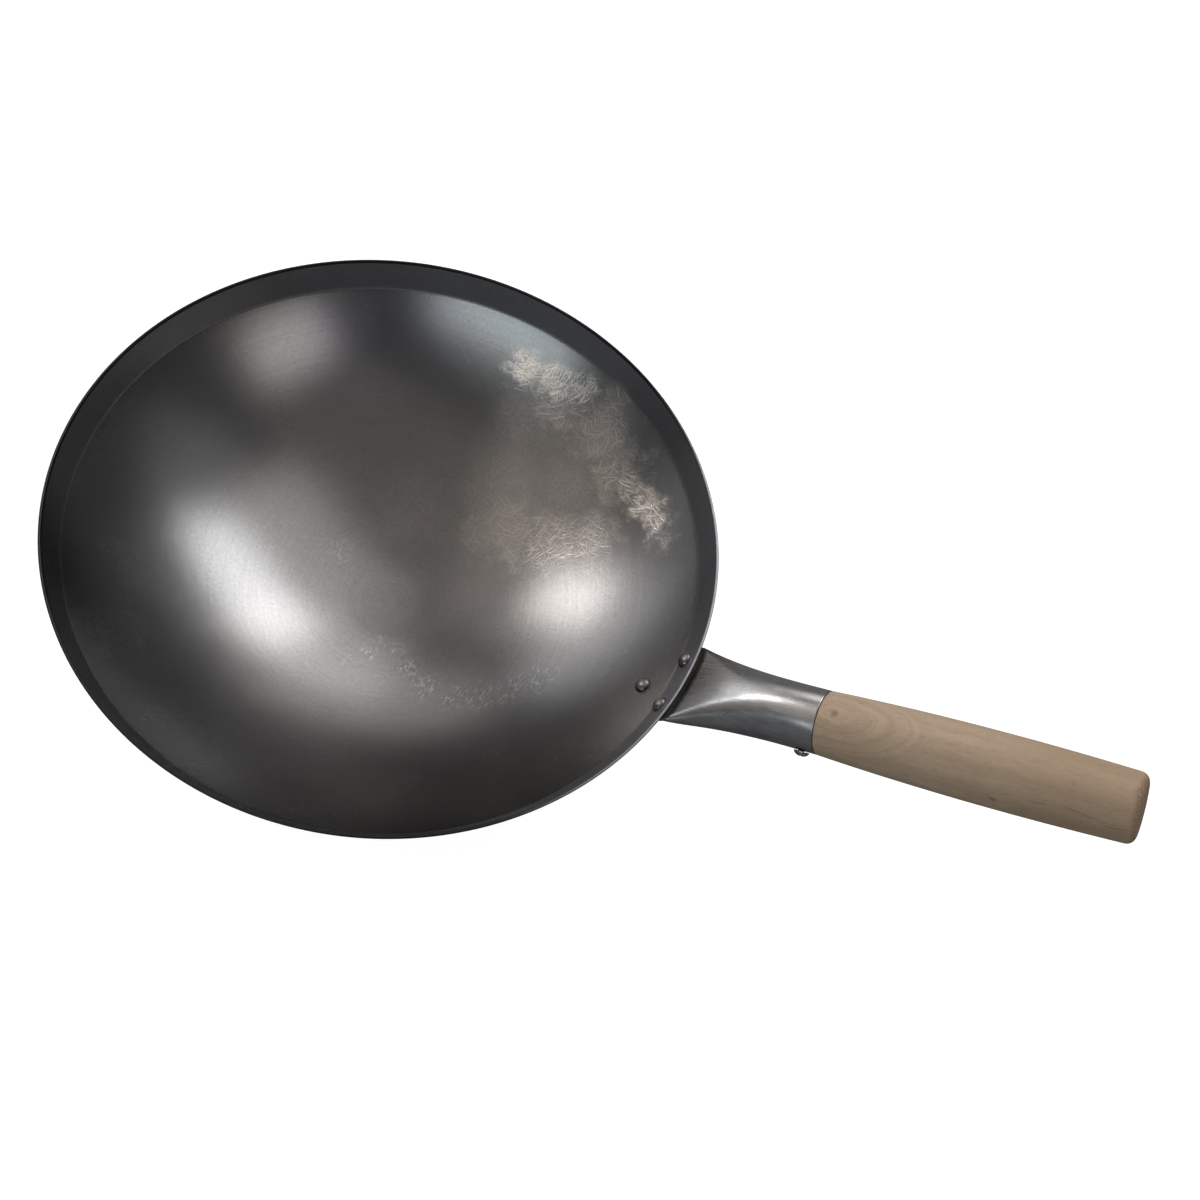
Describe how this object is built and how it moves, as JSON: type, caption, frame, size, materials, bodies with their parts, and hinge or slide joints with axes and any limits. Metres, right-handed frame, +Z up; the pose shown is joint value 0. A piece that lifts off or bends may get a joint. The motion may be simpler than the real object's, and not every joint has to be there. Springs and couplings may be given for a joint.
{
  "type": "wok",
  "caption": "Round-bottomed carbon-steel wok with a creased rim band and a wooden grip in a flattened steel socket riveted to the bowl.",
  "frame": {"origin": "middle of the small flat under the bowl, on the outside face", "axes": "+X towards the handle, +Z up the bowl's axis; the rim is level"},
  "size_m": [0.5659, 0.36, 0.2227],
  "materials": {
    "carbon_steel": "satin, oiled",
    "socket_steel": "smooth",
    "rivet_steel": "hammered",
    "screw_steel": "plated",
    "grip_wood": "raw, sanded"
  },
  "bodies": {
    "root": {"bowl": "carbon_steel", "handle_socket": "socket_steel", "handle_grip": "grip_wood", "rivet_upper_left": "rivet_steel", "rivet_upper_right": "rivet_steel", "rivet_lower": "rivet_steel", "handle_screw": "screw_steel"}
  },
  "joints": []
}
